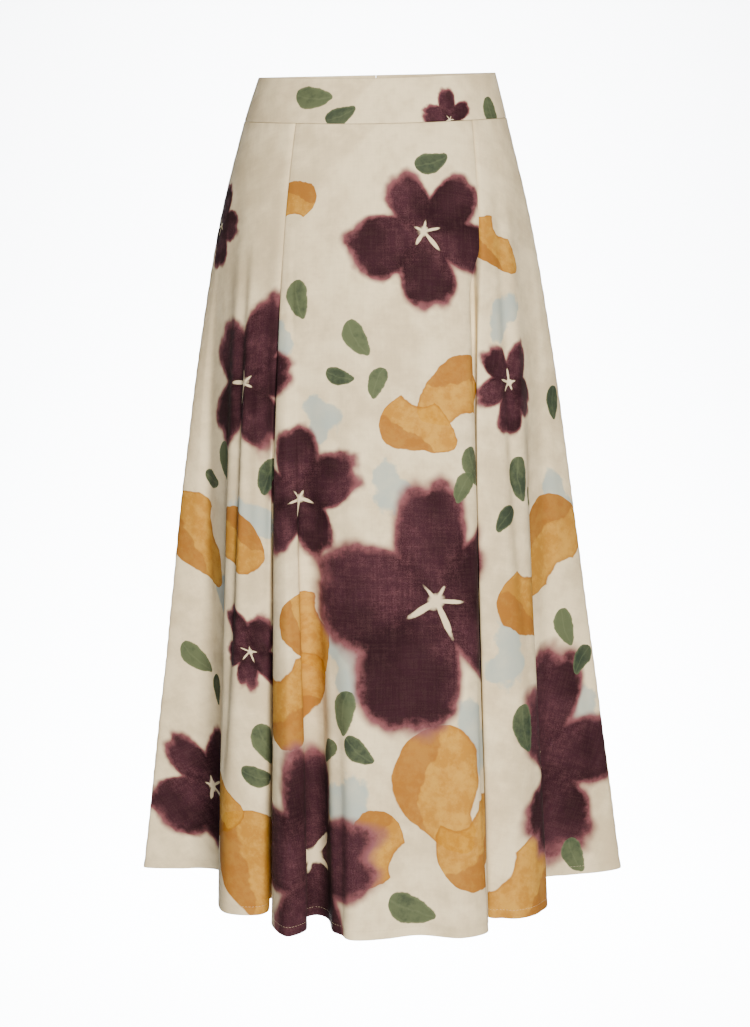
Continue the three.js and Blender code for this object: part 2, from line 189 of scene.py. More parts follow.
# %% The outline at any height
def extent(side, drop):
    """Half the skirt's size on one side at each drop, on a smooth curve through the rows."""
    drops = np.array([row.drop for row in OUTLINE], float)
    sizes = np.array([getattr(row, side) for row in OUTLINE], float)
    rows = np.arange(len(OUTLINE))
    before, after = np.maximum(rows - 1, 0), np.minimum(rows + 1, rows[-1])
    slopes = (sizes[after] - sizes[before]) / (drops[after] - drops[before])
    low = np.clip(np.searchsorted(drops, drop) - 1, 0, rows[-1] - 1)
    step = drops[low + 1] - drops[low]
    t = np.clip((drop - drops[low]) / step, 0, 1)
    return (
        sizes[low] * (1 + 2 * t) * (1 - t) ** 2
        + sizes[low + 1] * t * t * (3 - 2 * t)
        + step * slopes[low] * t * (1 - t) ** 2
        - step * slopes[low + 1] * t * t * (1 - t)
    )


def extents_at(drop, x, y):
    """The half sizes across and along, on the sides that x and y point to."""
    across = np.where(x < 0, extent("left", drop), extent("right", drop))
    along = np.where(y < 0, extent("front", drop), extent("back", drop))
    return across, along


def share(value, low, high):
    return np.clip((value - low) / (high - low), 0, 1)


print("half the hem's width on the left is", extent("left", np.array(SKIRT_LENGTH)), "mm")


# %% Where the fold lines cross each level section
def line_degrees(drop, column, hem_angle):
    """The direction of each line at each drop, in degrees round the waist."""
    seam, shut, spring = column["seam"], column["shut"], column["spring"]

    def turning(start, top):
        left = 1 - share(drop, top, SKIRT_LENGTH)
        return hem_angle + (start - hem_angle) * left ** column["swing"]

    stitched = seam + (shut - seam) * share(drop, BAND_HEIGHT, PLEAT_OPENS)
    held = spring * (1 - share(drop, PLEAT_OPENS, PLEAT_SPRINGS)) ** 2
    opened = turning(shut + spring, PLEAT_OPENS) - held
    pleat = np.where(drop < PLEAT_OPENS, stitched, opened)
    return np.where(np.isnan(shut), turning(seam, BAND_HEIGHT), pleat)


def line_points(drop):
    """Places of all the fold lines at each drop, as an array of drops by lines by two."""
    drop = np.asarray(drop, float)[:, None]
    column = {
        key: np.array([getattr(line, key) for line in FOLD_LINES], float)[None]
        for key in FoldLine._fields[1:]
    }
    across, along = extents_at(np.array(float(SKIRT_LENGTH)), column["x"], column["y"])
    u, v = column["x"] / across, -column["y"] / along
    hem_angle = np.degrees(np.arctan2(u, v))
    hem_angle = np.where(hem_angle < column["seam"] - 180, hem_angle + 360, hem_angle)
    angle = np.radians(line_degrees(drop, column, hem_angle))
    grown = share(drop, column["start"], SKIRT_LENGTH)
    sine, cosine = np.sin(angle), np.cos(angle)
    across, along = extents_at(drop, sine, -cosine)
    opening = np.sin(np.pi * share(drop, PLEAT_OPENS, PLEAT_SETTLES)) ** 2
    tuck = column["tuck"] * (1 - grown) - column["ease"] * opening
    reach = 1 - tuck / np.hypot(across * sine, along * cosine) - (1 - np.hypot(u, v)) * grown
    return np.stack([reach * across * sine, -reach * along * cosine], axis=2)


# %% Smooth closed sections through the lines
def section_points(keys, at):
    """Points and outward normals of the closed curves through keys, at places counted in lines."""
    line = np.floor(at).astype(int)
    t = (at - line)[None, :, None]
    p0, p1, p2, p3 = (keys[:, (line + shift) % keys.shape[1]] for shift in (-1, 0, 1, 2))

    def knot(a, b):
        return np.sqrt(np.linalg.norm(b - a, axis=2, keepdims=True))

    d0, d1, d2 = knot(p0, p1), knot(p1, p2), knot(p2, p3)
    start = ((p1 - p0) / d0 - (p2 - p0) / (d0 + d1) + (p2 - p1) / d1) * d1
    end = ((p2 - p1) / d1 - (p3 - p1) / (d1 + d2) + (p3 - p2) / d2) * d1
    square = 3 * (p2 - p1) - 2 * start - end
    cube = 2 * (p1 - p2) + start + end
    points = p1 + start * t + square * t**2 + cube * t**3
    along = start + 2 * square * t + 3 * cube * t**2
    along /= np.linalg.norm(along, axis=2, keepdims=True)
    return points, np.stack([along[..., 1], -along[..., 0]], axis=2)


def height(drop, x, y):
    """The height of points: their drop, with the waist's tilt and its dip at the front."""
    left = (1 - share(drop, 0, WAIST_SHAPE_ENDS)) ** 2
    frontness = np.maximum(0, -y / np.hypot(x, y)) ** 2
    return -drop + left * (WAIST_TILT * x - FRONT_DIP * frontness)


hem_lines = line_points([SKIRT_LENGTH])[0]
print("the fold lines span", np.ptp(hem_lines, axis=0).round(), "mm at the hem")

# %% [markdown]
# ## Soft creases
#
# Between the big folds the cloth isn't flat: shallow troughs and ridges run down from the stitched
# pleats and fade out. They could be painted into a bump map, but they are wide enough to catch the
# light and to change the outline a little, so they are real form. Each row of the table is one
# crease: where it starts and ends among the fold lines, its drops, its width and its depth.

# %% The creases
Crease = namedtuple("Crease", "start end top bottom width depth")
CREASES = table(
    Crease,
    (3.4, 3.3, 110, 829, 15, -7.0), (4.4, 4.4, 150, 700, 9, -6.2),
    (5.0, 5.05, 170, 640, 5, 1.6), (5.5, 5.5, 170, 640, 7, -1.4),
    (5.8, 5.8, 210, 470, 5, 0.9), (6.1, 6.2, 180, 560, 5.5, -2.2),
    (6.45, 6.5, 190, 540, 4.5, -1.5), (11.4, 11.6, 250, 620, 5, -0.9),
    (13.4, 13.5, 360, 829, 8.5, -8.5), (14.9, 15.3, 320, 780, 9, -1.8),
    (15.4, 15.3, 560, 829, 9, -4.2), (15.6, 15.7, 250, 560, 7, -1.8),
    (16.4, 16.2, 420, 829, 12, -1.5), (17.6, 17.4, 200, 560, 16, -0.8),
    (18.8, 18.9, 480, 760, 8, -2.0), (19.4, 19.5, 300, 700, 9, 1.1),
    (20.5, 20.5, 560, 829, 8, -5.0), (20.7, 20.75, 60, 420, 6, -2.0),
    (24.6, 24.5, 480, 829, 7, -3), (26.0, 26.3, 90, 560, 9, -5.0),
    (26.5, 26.4, 330, 829, 8, -1.4), (28.0, 28.0, 330, 829, 12, -8.5),
    (29.7, 29.9, 420, 829, 10, -1.6), (30.5, 30.5, 560, 800, 10, -2.6),
    (1.5, 1.4, 420, 829, 12, -1.6), (2.4, 2.5, 260, 760, 10, 1.2),
    (32.5, 32.4, 260, 829, 12, -1.5), (33.5, 33.6, 190, 640, 14, -1.4),
    (35.4, 35.5, 300, 829, 12, -1.6), (37.4, 37.5, 240, 700, 10, -1.2),
    (39.5, 39.4, 260, 760, 10, -1.3), (41.5, 41.6, 220, 829, 12, -1.7),
    (43.6, 43.5, 300, 700, 14, -1.2), (44.5, 44.4, 420, 829, 12, -1.5),
)
print(len(CREASES), "soft creases")


# %% The cloth at any place: rows of drops by columns counted in fold lines
CREASE_FADE = 0.7
WAVER = 0.45
WAVER_STARTS, WAVER_FULL = 60, 240
PUCKER = 0.28
PUCKER_REACH = 7
SIDE_PUCKER = 0.3
SIDE_PUCKER_REACH = 6
PLEATS = (("left pleat lip", "left pleat lip 2"), ("right pleat lip", "right pleat lip 2"))


def lengths_round(points):
    """How far round each point lies from the first column, along its own section."""
    steps = np.linalg.norm(np.diff(points, axis=1), axis=2)
    return np.concatenate([np.zeros((len(points), 1)), np.cumsum(steps, axis=1)], axis=1)


def lengths_from(at, points, zero_at):
    """The same lengths, counted from the column at zero_at."""
    lengths = lengths_round(points)
    zero = np.array([np.interp(zero_at, at, row) for row in lengths])
    return lengths - zero[:, None]


def crease_offsets(drops, at, lengths):
    """How far each point stands out from the folds' own form because of the creases."""
    offsets = np.zeros_like(lengths)
    for crease in CREASES:
        down = share(drops, crease.top, crease.bottom)
        centre_at = crease.start + (crease.end - crease.start) * down
        centre = np.array([np.interp(place, at, row) for place, row in zip(centre_at, lengths)])
        fade = np.sin(np.pi * down) ** CREASE_FADE
        if crease.bottom == SKIRT_LENGTH:
            fade = np.sin(np.pi / 2 * down)
        inside = (at[0] <= crease.start) & (crease.start <= at[-1])
        across = (lengths - centre[:, None]) / crease.width
        offsets += inside * crease.depth * fade[:, None] * np.exp(-(across**2))
    return offsets


def unevenness(drops, lengths):
    """A slow, slight waver of the surface, because hung cloth is never quite even."""
    down, round_it = drops[:, None] / 100, lengths / 100
    waver = np.sin(2.1 * round_it + 0.6 * down + 1) * np.sin(0.9 * down + 0.7 * round_it)
    waver += 0.6 * np.sin(5.3 * round_it - 0.9 * down) * np.sin(1.7 * down + 2)
    return WAVER * waver * share(drops, WAVER_STARTS, WAVER_FULL)[:, None]


def puckers(drops, at, lengths):
    """Small ripples where the waist seam and the two end seams draw the cloth in."""
    down = drops[:, None]
    ripple = PUCKER * np.sin(lengths / 2.6 + np.sin(lengths / 11.0))
    ripple *= np.exp(-(down - BAND_HEIGHT) / PUCKER_REACH)
    for first, last in PLEATS:
        ripple *= (at < LINE_AT[first] - 0.5) | (at > LINE_AT[last] + 0.5)
    for edge in (0, -1):
        beside = abs(lengths - lengths[:, edge][:, None])
        along = SIDE_PUCKER * np.sin(down / 3.1 + np.sin(down / 23.0))
        ripple += along * np.exp(-beside / SIDE_PUCKER_REACH)
    return ripple


print("the cloth wavers by up to", WAVER, "mm, and puckers by up to", SIDE_PUCKER, "mm")

# %% [markdown]
# ## From the hanging cloth back to the flat cut
#
# A print belongs to the flat cloth, so every point of a panel needs its place on the cutting
# table. A flared panel is close to a piece of a flat ring: its top is a short arc, its hem a long
# one, and the straight grain runs down its middle. The distance round each section and the
# distance down the cloth give a place on that ring, and with it the print keeps its scale from the
# waist to the hem.

# %% A panel as a grid
Panel = namedtuple("Panel", "name at drops points normals flat cut")
ROW_STEP = 6.0
COLUMN_STEP = 3.4
FEWEST_COLUMNS = 6
MOST_COLUMNS = 18
HEM_TURN = 12.0
ROWS_AT_WAIST = (0, 1.0, 2.5, 4.5)
ROWS_AT_HEM = (HEM_TURN + 1.2, HEM_TURN, 10.6, 9, 7.4, 5, 2.5, 1.0, 0.5, 0.15, 0)
PANEL_DROPS = np.concatenate(
    [
        BAND_HEIGHT + np.array(ROWS_AT_WAIST),
        np.arange(BAND_HEIGHT + 8, SKIRT_LENGTH - HEM_TURN - 4, ROW_STEP),
        SKIRT_LENGTH - np.array(ROWS_AT_HEM),
    ]
)

# The three stretches of the skirt: their first and last fold lines, and the line where the print
# has its zero.
Stretch = namedtuple("Stretch", "first last zero")
STRETCHES = {
    "front": Stretch("left side", "right side", "fold D middle"),
    "back_left": Stretch("right side", "centre back", "centre back"),
    "back_right": Stretch("centre back", "left side", "centre back"),
}


def columns_between(first, last):
    """Column places between two fold lines, closer together where the cloth bends tightly."""
    start = LINE_AT[first]
    end = LINE_AT[last] if LINE_AT[last] > start else LINE_AT[last] + len(FOLD_LINES)
    places = []
    for line in range(start, end):
        a, b = hem_lines[line % len(hem_lines)], hem_lines[(line + 1) % len(hem_lines)]
        steps = np.linalg.norm(b - a) / COLUMN_STEP
        count = int(np.clip(steps, FEWEST_COLUMNS, MOST_COLUMNS))
        places.extend(line + np.arange(count) / count)
    return np.array(places + [end])


def flat_cut(drops, lengths):
    """The panel's ring-shaped cut: its inner radius, its widths, and each point's flat place."""
    top, hem = np.ptp(lengths[0]), np.ptp(lengths[-1])
    down = drops - drops[0]
    inner = top * down[-1] / (hem - top)
    radius = inner + down[:, None]
    angle = lengths / radius
    places = np.stack([radius * np.sin(angle), radius * np.cos(angle) - inner], axis=2)
    spread = (lengths[-1] / radius[-1])[[0, -1]]
    area = (radius[-1, 0] ** 2 - inner**2) / 2 * np.ptp(spread)
    size = (np.ptp(places[..., 0]), np.ptp(places[..., 1]))
    return places, {"top": top, "hem": hem, "size": size, "area": area}


def make_panel(name, stretch):
    """The grid of a panel, with its print's zero at the stretch's zero line."""
    at, drops = columns_between(stretch.first, stretch.last), PANEL_DROPS
    points, normals = section_points(line_points(drops), at)
    lengths = lengths_from(at, points, LINE_AT[stretch.zero])
    out = crease_offsets(drops, at, lengths) + unevenness(drops, lengths)
    out += puckers(drops, at, lengths)
    points = points + normals * out[..., None]
    return Panel(name, at, drops, points, normals, *flat_cut(drops, lengths))


PANELS = {key: make_panel(key + "_panel", stretch) for key, stretch in STRETCHES.items()}
for panel in PANELS.values():
    print(panel.name, "has a top of", round(panel.cut["top"]), "mm, hem", round(panel.cut["hem"]))

# %% [markdown]
# ## The print
#
# The cloth carries a large painted flower print on cream: soft plum blossoms, loose ochre petals,
# green leaves and pale blue patches. The motifs and their layout are ordinary ones, made up for
# this skirt. An image would fix their sharpness, so formulas draw them. A table places each motif
# on the cloth, by fold line and drop. Every face then stores the nearest motif's own coordinates,
# once for each layer of paint, and the material turns these into petals with crisp or soft edges.

# %% The motifs: at counts the fold lines, and drop and radius are in millimetres
Motif = namedtuple("Motif", "at drop radius turn seed")
BLOSSOMS = table(
    Motif,
    (18.3, 150, 78, 20, 0.11), (4.9, 300, 84, 75, 0.37), (26.2, 300, 51, 10, 0.81),
    (12.9, 405, 71, -15, 0.52), (18.6, 500, 132, 40, 0.23), (5.6, 560, 46, -30, 0.64),
    (13.4, 765, 127, 62, 0.93), (28.3, 700, 122, 55, 0.46), (2.0, 735, 78, 33, 0.17),
    (1.2, 150, 43, 12, 0.72), (33.4, 200, 66, 12, 0.35), (34.6, 500, 122, 50, 0.58),
    (32.6, 780, 76, -20, 0.21), (37.0, 300, 64, 65, 0.83), (37.2, 680, 127, 25, 0.44),
    (40.0, 420, 78, -10, 0.66), (40.3, 790, 82, 48, 0.12), (43.4, 180, 58, 22, 0.91),
    (43.0, 580, 125, -42, 0.39),
)
PETALS_LOOSE = table(
    Motif,
    (10.6, 120, 28, 200, 0.15), (25.4, 165, 34, 30, 0.43), (19.3, 305, 46, 150, 0.68),
    (18.2, 335, 40, 20, 0.26), (1.6, 470, 53, 75, 0.62), (4.2, 455, 45, 190, 0.87),
    (13.3, 540, 45, 60, 0.34), (11.6, 600, 58, -25, 0.51), (29.0, 470, 58, 110, 0.78),
    (27.0, 520, 49, 20, 0.07), (18.6, 690, 64, 75, 0.95), (20.0, 735, 56, -40, 0.48),
    (16.6, 745, 45, 130, 0.19), (6.3, 790, 69, 95, 0.59), (4.0, 725, 49, 10, 0.29),
    (25.6, 800, 60, -80, 0.71), (34.2, 300, 58, 40, 0.22), (33.6, 345, 49, -70, 0.75),
    (36.4, 520, 64, 160, 0.41), (35.0, 720, 71, 15, 0.88), (34.2, 770, 56, 85, 0.53),
    (38.6, 470, 60, 100, 0.31), (41.4, 620, 64, -35, 0.57), (41.0, 670, 53, 60, 0.13),
    (44.0, 380, 63, 175, 0.97), (44.4, 760, 66, -120, 0.66), (41.6, 240, 49, 20, 0.05),
)
LEAVES = table(
    Motif,
    (16.3, 250, 20, 60, 0.2), (15.7, 285, 15, 15, 0.7), (16.9, 292, 16, 110, 0.4),
    (18.7, 80, 18, -20, 0.9), (13.2, 215, 20, 80, 0.3), (6.6, 390, 21, 130, 0.6),
    (3.2, 380, 20, 95, 0.1), (2.4, 405, 16, 30, 0.8), (20.3, 375, 21, 65, 0.5),
    (19.6, 395, 17, 120, 0.35), (26.6, 395, 23, 75, 0.65), (27.6, 420, 18, 20, 0.15),
    (25.4, 430, 17, 130, 0.85), (15.6, 610, 23, 100, 0.25), (16.2, 645, 19, 40, 0.75),
    (14.6, 655, 17, 140, 0.45), (25.8, 640, 25, 70, 0.55), (29.9, 560, 21, 60, 0.05),
    (30.4, 600, 18, 110, 0.95), (7.0, 660, 25, 80, 0.33), (6.0, 690, 19, 30, 0.67),
    (1.4, 600, 21, 70, 0.23), (2.4, 625, 17, 120, 0.77), (17.8, 800, 26, 20, 0.53),
    (29.8, 810, 21, 45, 0.43), (30.2, 330, 18, 80, 0.63), (33.6, 400, 21, 100, 0.27),
    (32.4, 420, 20, 45, 0.63), (35.2, 620, 25, 80, 0.43), (36.6, 400, 21, -40, 0.83),
    (37.4, 520, 23, 60, 0.13), (38.6, 580, 23, 120, 0.73), (40.6, 560, 23, 75, 0.37),
    (42.6, 420, 21, 20, 0.57), (43.6, 730, 25, 95, 0.03), (40.4, 300, 20, -60, 0.93),
    (44.4, 300, 20, 110, 0.47), (37.8, 180, 18, 15, 0.88),
)
PATCHES = table(
    Motif,
    (14.8, 330, 30, 30, 0.3), (17.3, 395, 32, 100, 0.7), (9.8, 250, 27, 75, 0.2),
    (25.8, 235, 30, 95, 0.9), (15.9, 560, 42, 60, 0.5), (5.2, 430, 37, 40, 0.1),
    (3.2, 520, 40, 85, 0.8), (25.2, 570, 37, 70, 0.4), (20.2, 640, 42, 80, 0.6),
    (15.6, 700, 44, 95, 0.25), (30.0, 430, 35, 80, 0.65), (30.2, 660, 37, 70, 0.35),
    (8.6, 830, 42, 70, 0.15), (33.0, 470, 42, 60, 0.45), (36.4, 640, 48, 95, 0.85),
    (39.0, 620, 42, 30, 0.15), (41.0, 480, 42, 85, 0.55), (43.8, 500, 44, 70, 0.35),
    (38.0, 380, 37, 20, 0.75),
)
PRINT = {"sky": PATCHES, "ochre": PETALS_LOOSE, "plum": BLOSSOMS, "leaf": LEAVES}
LAYERS_EACH = {"sky": 1, "ochre": 3, "plum": 2, "leaf": 2}


def layer_names(colour):
    return [colour + "_" + str(number) for number in range(LAYERS_EACH[colour])]


print({colour: len(motifs) for colour, motifs in PRINT.items()})


# %% Motif places on the flat cut, and each face's nearest motif
NO_MOTIF = 9.0
FAR_OFF = 2.5
APART = 1.15


def place_on_cut(panel, motif):
    """The flat place of a motif, in millimetres, from its fold line and drop."""
    row = np.interp(motif.drop, panel.drops, np.arange(len(panel.drops)))
    column = np.interp(motif.at, panel.at, np.arange(len(panel.at)))
    return panel.flat[int(round(row)), int(round(column))]


def into_layers(placed_by_colour):
    """Puts close motifs of one colour into different layers, so that they can overlap."""
    layers = {}
    for colour, count in LAYERS_EACH.items():
        stacks = [[] for _ in range(count)]
        for place, motif in placed_by_colour.get(colour, []):

            def room(stack):
                gaps = [math.dist(place, p) / (m.radius + motif.radius) for p, m in stack]
                return min(gaps, default=NO_MOTIF)

            roomy = (stack for stack in stacks if room(stack) > APART)
            next(roomy, max(stacks, key=room)).append((place, motif))
        layers.update(zip(layer_names(colour), stacks))
    return layers


def nearest_motif(flat, corners, placed):
    """Each face corner's place in the nearest motif's turned and scaled frame, and the seed."""
    if not placed:
        return np.full(corners.shape + (3,), NO_MOTIF)
    centres = np.array([place for place, _ in placed])
    radius = np.array([motif.radius for _, motif in placed], float)
    turn = np.radians([motif.turn for _, motif in placed])
    seed = np.array([motif.seed for _, motif in placed])
    middle = flat[corners].mean(axis=1)
    distance = np.linalg.norm(middle[:, None] - centres[None], axis=2) / radius
    chosen = distance.argmin(axis=1)
    local = (flat[corners] - centres[chosen][:, None]) / radius[chosen][:, None, None]
    cosine, sine = np.cos(turn[chosen])[:, None], np.sin(turn[chosen])[:, None]
    x = local[..., 0] * cosine + local[..., 1] * sine
    y = local[..., 1] * cosine - local[..., 0] * sine
    far = (distance.min(axis=1) > FAR_OFF)[:, None]
    x = np.where(far, NO_MOTIF, x)
    return np.stack([x, y, np.broadcast_to(seed[chosen][:, None], x.shape)], axis=2)


print("motifs of one colour lie in", sum(LAYERS_EACH.values()), "layers")

# %% [markdown]
# ## Cloth shells
#
# A cloth panel could be one sheet with a Solidify modifier, but its edges then need care at the
# hem. A closed shell made directly is as short: the outer grid, the inner grid moved in by the
# thickness, and strips that join them at the four edges. The shell stores its flat places, its
# print coordinates and which side a face is on, for the material to read.

# %% A closed shell from two grids
CLOTH = 1.0
HEM_CLOTH = 2.0
BAND_CLOTH = 2.0
EDGE_SIDE = 0.5


def shell_faces(rows, columns):
    """Corner numbers of the outer side, the inner side and the edges, as arrays of quads."""
    grid = np.arange(rows * columns).reshape(rows, columns)
    a, b, c, d = grid[:-1, :-1], grid[1:, :-1], grid[1:, 1:], grid[:-1, 1:]
    outer = np.stack([a, b, c, d], axis=-1).reshape(-1, 4)
    inner = np.stack([a, d, c, b], axis=-1).reshape(-1, 4) + rows * columns
    rims = [(g[0], g[-1][::-1], g[::-1, 0], g[:, -1]) for g in (grid, grid + rows * columns)]
    edges = [
        np.stack([line[:-1], line[1:], mirror[1:], mirror[:-1]], axis=-1)
        for line, mirror in zip(*rims)
    ]
    return outer, inner, np.concatenate(edges)


def add_vectors(mesh, name, values):
    """Stores a vector for each face corner."""
    attribute = mesh.attributes.new(name, "FLOAT_VECTOR", "CORNER")
    attribute.data.foreach_set("vector", np.ascontiguousarray(values, np.float32).ravel())


def cloth_shell(name, outer_points, inner_points, flat, placed, material):
    """A closed cloth shell with its print coordinates. The points are in millimetres."""
    outer, inner, edges = shell_faces(*outer_points.shape[:2])
    faces = np.concatenate([outer, inner, edges])
    vertices = np.concatenate([outer_points.reshape(-1, 3), inner_points.reshape(-1, 3)]) * MM
    mesh = bpy.data.meshes.new(name)
    mesh.from_pydata(vertices.tolist(), [], faces.tolist())
    both_flat = np.concatenate([flat.reshape(-1, 2)] * 2)
    side = np.repeat([0, 1, EDGE_SIDE], [len(outer), len(inner), len(edges)])
    side_at_corners = np.broadcast_to(side[:, None, None], faces.shape + (1,))
    add_vectors(mesh, "cloth", np.concatenate([both_flat[faces] * MM, side_at_corners], axis=2))
    for layer, motifs in placed.items():
        add_vectors(mesh, layer, nearest_motif(both_flat, faces, motifs))
    mesh.polygons.foreach_set("use_smooth", side != EDGE_SIDE)
    mesh.materials.append(material)
    mesh.update()
    print(name, "has", len(faces) * 2, "triangles")
    return in_scene(name, mesh)


def with_height(drops, plan):
    """Plan points with their heights."""
    z = height(drops[:, None], plan[..., 0], plan[..., 1])
    return np.concatenate([plan, z[..., None]], axis=2)


print("the panels' cloth is", CLOTH, "mm thick, and", HEM_CLOTH, "mm at the hem")

# %% [markdown]
# ## The printed cloth's material
#
# Formulas are easier to read as formulas than as a tree of boxes, so a small class stands for a
# number that varies over the cloth, and each operator on it adds one Math node. The blossoms,
# loose petals, leaves and patches are then a few lines each. Noise moves their edges, so that they
# look brushed and not cut out, and slower noise makes the paint thin and pool as wet colour does.


# %% Nodes, and numbers that vary over the surface
def fill(node, values):
    """Gives a node its inputs: a field or a socket is linked, and a plain value is set."""
    for key, value in values.items():
        value = value.socket if isinstance(value, Field) else value
        if isinstance(value, bpy.types.NodeSocket):
            node.id_data.links.new(value, node.inputs[key])
        else:
            node.inputs[key].default_value = value


def new_node(tree, kind, values=(), **settings):
    """A new node with these settings and inputs."""
    node = tree.nodes.new(kind)
    for key, value in settings.items():
        setattr(node, key, value)
    fill(node, dict(values))
    return node


class Field:
    """A number that varies over the surface, kept as a node's output."""

    def __init__(self, socket):
        self.socket = socket

    def made(self, kind, values, **settings):
        return Field(new_node(self.socket.id_data, kind, values, **settings).outputs[0])

    def math(self, operation, *others):
        return self.made("ShaderNodeMath", enumerate((self, *others)), operation=operation)

    __add__ = partialmethod(math, "ADD")
    __sub__ = partialmethod(math, "SUBTRACT")
    __mul__ = partialmethod(math, "MULTIPLY")
    power = partialmethod(math, "POWER")
    absolute = partialmethod(math, "ABSOLUTE")
    sine = partialmethod(math, "SINE")
    cosine = partialmethod(math, "COSINE")
    greater_of = partialmethod(math, "MAXIMUM")
    lesser_of = partialmethod(math, "MINIMUM")

    def minus_from(self, number):
        return self * -1.0 + number

    def ramp(self, low, high):
        """0 up to low, 1 from high on, and a soft step between. low may be above high."""
        values = {0: self, 1: low, 2: high}
        return self.made("ShaderNodeMapRange", values, interpolation_type="SMOOTHSTEP")


def attribute(tree, name):
    """The three numbers of a stored vector, and the vector itself."""
    vector = new_node(tree, "ShaderNodeAttribute", attribute_name=name).outputs["Vector"]
    parts = new_node(tree, "ShaderNodeSeparateXYZ", {0: vector})
    return [Field(part) for part in parts.outputs], vector


def noise(vector, scale, detail=3.0, rough=0.55):
    """Noise from 0 to 1 at so many waves a unit."""
    values = {"Vector": vector, "Scale": scale, "Detail": detail, "Roughness": rough}
    return Field(new_node(vector.id_data, "ShaderNodeTexNoise", values).outputs["Fac"])


def linear(*rgb):
    """A screen colour, 0 to 255, as the linear colour that a material needs."""
    return [((c / 255 + 0.055) / 1.055) ** 2.4 if c > 10 else c / 255 / 12.92 for c in rgb] + [1.0]


def mixed(amount, low, high):
    """A colour between two, each a socket or a plain colour."""
    values = {0: amount, 6: low, 7: high}
    tree = amount.socket.id_data
    return new_node(tree, "ShaderNodeMix", values, data_type="RGBA").outputs[2]


def relief(height, strength, distance):
    """The normal of a surface that is raised by a height."""
    values = {"Strength": strength, "Distance": distance, "Height": height}
    return new_node(height.socket.id_data, "ShaderNodeBump", values).outputs["Normal"]


def new_material(name):
    """A new material, its tree and its shader."""
    material = bpy.data.materials.new(name)
    material.use_nodes = True
    return material, material.node_tree, material.node_tree.nodes["Principled BSDF"]


print("a field can be changed by", [name for name in vars(Field) if name[0] != "_"])

# %% The colours of the print, as linear reflectance
CREAM = (0.790, 0.690, 0.515, 1)
CREAM_DEEP = (0.590, 0.500, 0.365, 1)
THREAD_SHADE = (0.300, 0.220, 0.150, 1)
PLUM = (0.038, 0.0135, 0.0245, 1)
PLUM_DEEP = (0.0165, 0.0052, 0.0105, 1)
PLUM_WORN = (0.110, 0.041, 0.064, 1)
ROSE = (0.190, 0.072, 0.096, 1)
OCHRE = (0.370, 0.165, 0.014, 1)
OCHRE_PALE = (0.480, 0.250, 0.034, 1)
OCHRE_DEEP = (0.215, 0.066, 0.006, 1)
STAMEN = (0.720, 0.625, 0.480, 1)
LEAF = (0.070, 0.096, 0.058, 1)
LEAF_PALE = (0.140, 0.180, 0.110, 1)
LEAF_DEEP = (0.021, 0.038, 0.030, 1)
SKY = (0.350, 0.420, 0.450, 1)
print("the ground reflects", CREAM[:3])


# %% One function for each motif
PETALS = 5.0


def blossom(tree, layer, veins, worn):
    """How much of a blossom covers a place, its colour there, and its pale heart."""
    (x, y, seed), vector = attribute(tree, layer)
    wobble = noise(vector, 1.7) - 0.5
    fine = noise(vector, 8.0) - 0.5
    distance = (x * x + y * y).power(0.5)
    angle = y.math("ARCTAN2", x)
    bent = angle + (angle + seed * 5.0).sine() * 0.17
    lobes = (bent * PETALS).cosine()
    swell = (lobes * 0.5 + 0.53).power(0.32)
    dent = lobes.greater_of(0.0).power(10.0) * 0.07
    uneven = (angle - seed * 9.0).cosine() * 0.08 + (angle * 2.0 + seed * 14.0).cosine() * 0.06
    inside = swell * 0.58 - dent + uneven + 0.38 - distance + wobble * 0.46 + fine * 0.03
    cover = inside.ramp(-0.07, 0.05)
    core = (inside + veins * 0.06).ramp(-0.01, 0.14)
    pooled = noise(vector, 1.5, 2.0).ramp(0.36, 0.62)
    hollow = (swell.minus_from(1.0) * 0.9 + distance.ramp(0.5, 0.1) * 0.3).lesser_of(0.6)
    shade = (pooled * 0.7 + veins * 0.4 + hollow).lesser_of(1.0).greater_of(0.0)
    body = mixed(shade, PLUM, PLUM_DEEP)
    body = mixed(worn * pooled.minus_from(1.2) * 0.55, body, PLUM_WORN)
    ray = (angle - seed * 4.0).cosine() * 0.0026 + 0.0044
    star = lobes.minus_from(1.0).power(5.0) * ray
    heart = (distance + wobble * 0.16 + fine * 0.12 - star).ramp(0.065, 0.02)
    return cover, mixed(core, ROSE, body), heart


def past_the_tip(x):
    """Grows from nothing beyond a motif's two tips, so that its middle line doesn't run on."""
    return (x.absolute() - 0.96).greater_of(0.0) * 4.0


def petal(tree, layer, paint):
    """A broad ochre petal, hollowed on one side, with a deeper fold and a deeper rim."""
    (x, y, seed), vector = attribute(tree, layer)
    wobble = noise(vector, 1.5) - 0.5
    fine = noise(vector, 7.0) - 0.5
    wash = (noise(vector, 3.2, 5.0, 0.72) * 0.7 + paint * 0.3).ramp(0.30, 0.56)
    bent = y + x * x * (seed - 0.5) * 0.5 + wobble * 0.34
    half = (x * x).minus_from(1.0).greater_of(0.0).power(0.56) * (x * -0.26 + 0.68)
    bite_x, bite_y = x - seed * 1.3 + 0.65, y + 0.98
    bite = (bite_x * bite_x + bite_y * bite_y).power(0.5) - 0.56 + wobble * 0.3
    inside = (half - bent.absolute() - past_the_tip(x)).lesser_of(bite) + fine * 0.02
    cover = inside.ramp(-0.012, 0.018)
    fold = (bent - x * 0.30 + wobble * 0.4 - 0.20).ramp(0.0, 0.05) * 0.60
    rim = inside.ramp(0.08, 0.01) * 0.50
    return cover, mixed(fold.greater_of(rim), mixed(wash, OCHRE_PALE, OCHRE), OCHRE_DEEP)


